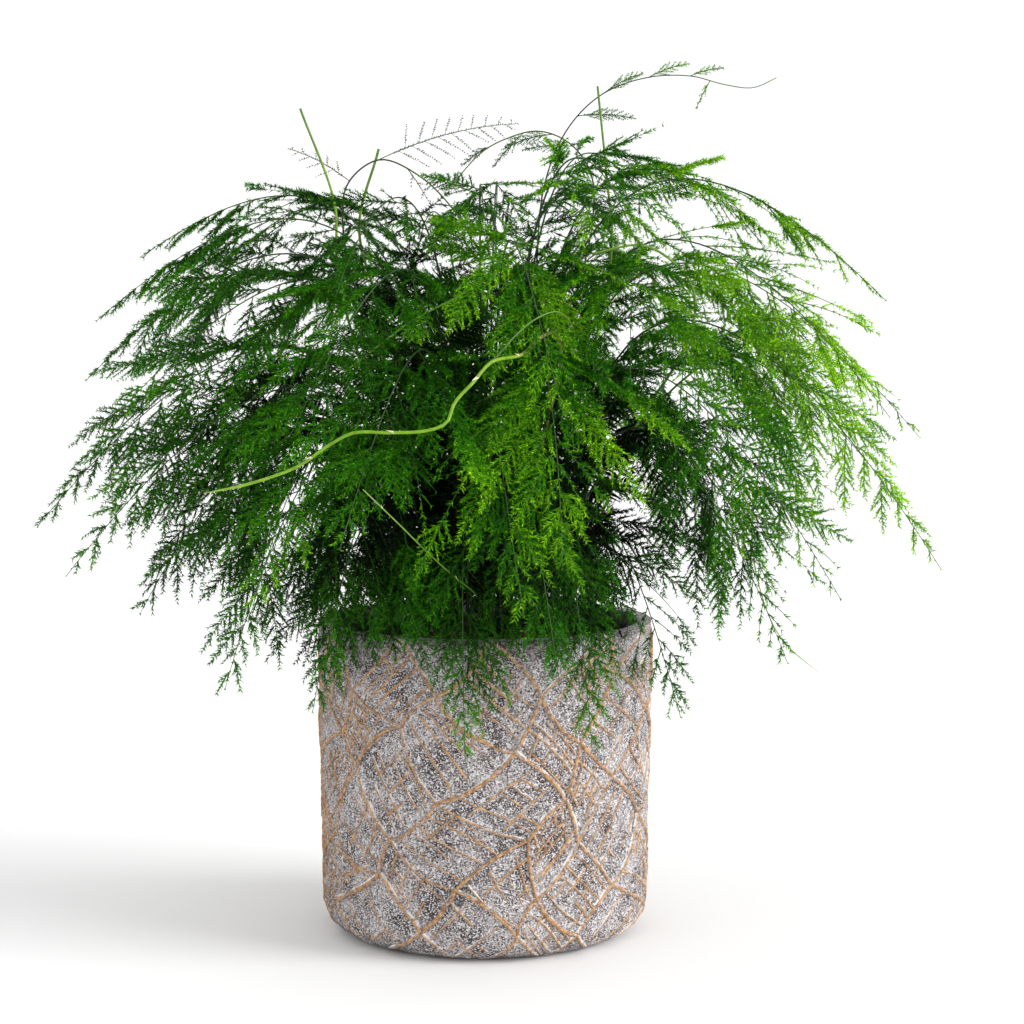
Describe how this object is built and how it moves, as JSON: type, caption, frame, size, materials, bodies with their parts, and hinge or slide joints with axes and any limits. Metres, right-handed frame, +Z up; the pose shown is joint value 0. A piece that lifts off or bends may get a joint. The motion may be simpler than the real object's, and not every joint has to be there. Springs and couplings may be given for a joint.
{
  "type": "potted asparagus fern",
  "caption": "Cylindrical cement pot with a raised net of ridges, filled with soil, from which wiry stems arch outwards and carry flat, feathery sprays of fine needles.",
  "frame": {"origin": "centre of the pot's flat foot, on the surface that it stands on", "axes": "+Z up, out of the pot; +X to the right and -Y towards the viewer of the picture"},
  "size_m": [0.5273, 0.3965, 0.5248],
  "materials": {
    "pot": "matt grey-brown cement with worn white wash and tan ridges",
    "soil": "dark, damp, crumbly",
    "foliage": "soft green needles with a faint sheen",
    "foliage_bright": "young yellow-green needles",
    "foliage_deep": "deep green needles",
    "stem": "smooth green stem"
  },
  "bodies": {
    "root": {"pot": "pot", "soil": "soil", "stem_winding": "stem", "stem_cut_tall": "stem", "stem_cut_short": "stem", "stem_cut_right": "stem", "spray_arch_sparse": "stem", "spray_tall_arch": "stem", "spray_nodding": "stem", "stem_arch_right": "stem", "stem_trailing": "stem", "frond_crown_01": "foliage", "frond_crown_02": "foliage", "frond_crown_03": "foliage", "frond_crown_04": "foliage", "frond_crown_05": "foliage", "frond_crown_06": "foliage", "frond_crown_07": "foliage", "frond_crown_08": "foliage_bright", "frond_crown_09": "foliage_bright", "frond_crown_10": "foliage_bright", "frond_crown_11": "foliage", "frond_crown_12": "foliage", "frond_shoulder_01": "foliage", "frond_shoulder_02": "foliage", "frond_shoulder_03": "foliage", "frond_shoulder_04": "foliage_bright", "frond_shoulder_05": "foliage", "frond_shoulder_06": "foliage_bright", "frond_shoulder_07": "foliage_bright", "frond_shoulder_08": "foliage", "frond_shoulder_09": "foliage", "frond_shoulder_10": "foliage", "frond_skirt_01": "foliage", "frond_skirt_02": "foliage", "frond_skirt_03": "foliage", "frond_skirt_04": "foliage", "frond_skirt_05": "foliage", "frond_skirt_06": "foliage_bright", "frond_skirt_07": "foliage", "frond_skirt_08": "foliage_bright", "frond_skirt_09": "foliage_bright", "frond_skirt_10": "foliage", "frond_skirt_11": "foliage", "frond_skirt_12": "foliage", "frond_low_01": "foliage_deep", "frond_low_02": "foliage_deep", "frond_low_03": "foliage_deep", "frond_low_04": "foliage_deep", "frond_low_05": "foliage_deep", "frond_low_06": "foliage_deep", "frond_low_07": "foliage_deep", "frond_low_08": "foliage_deep", "frond_rim_01": "foliage_deep", "frond_rim_02": "foliage_deep", "frond_rim_03": "foliage_deep", "frond_rim_04": "foliage_deep", "frond_rim_05": "foliage_deep"}
  },
  "joints": []
}
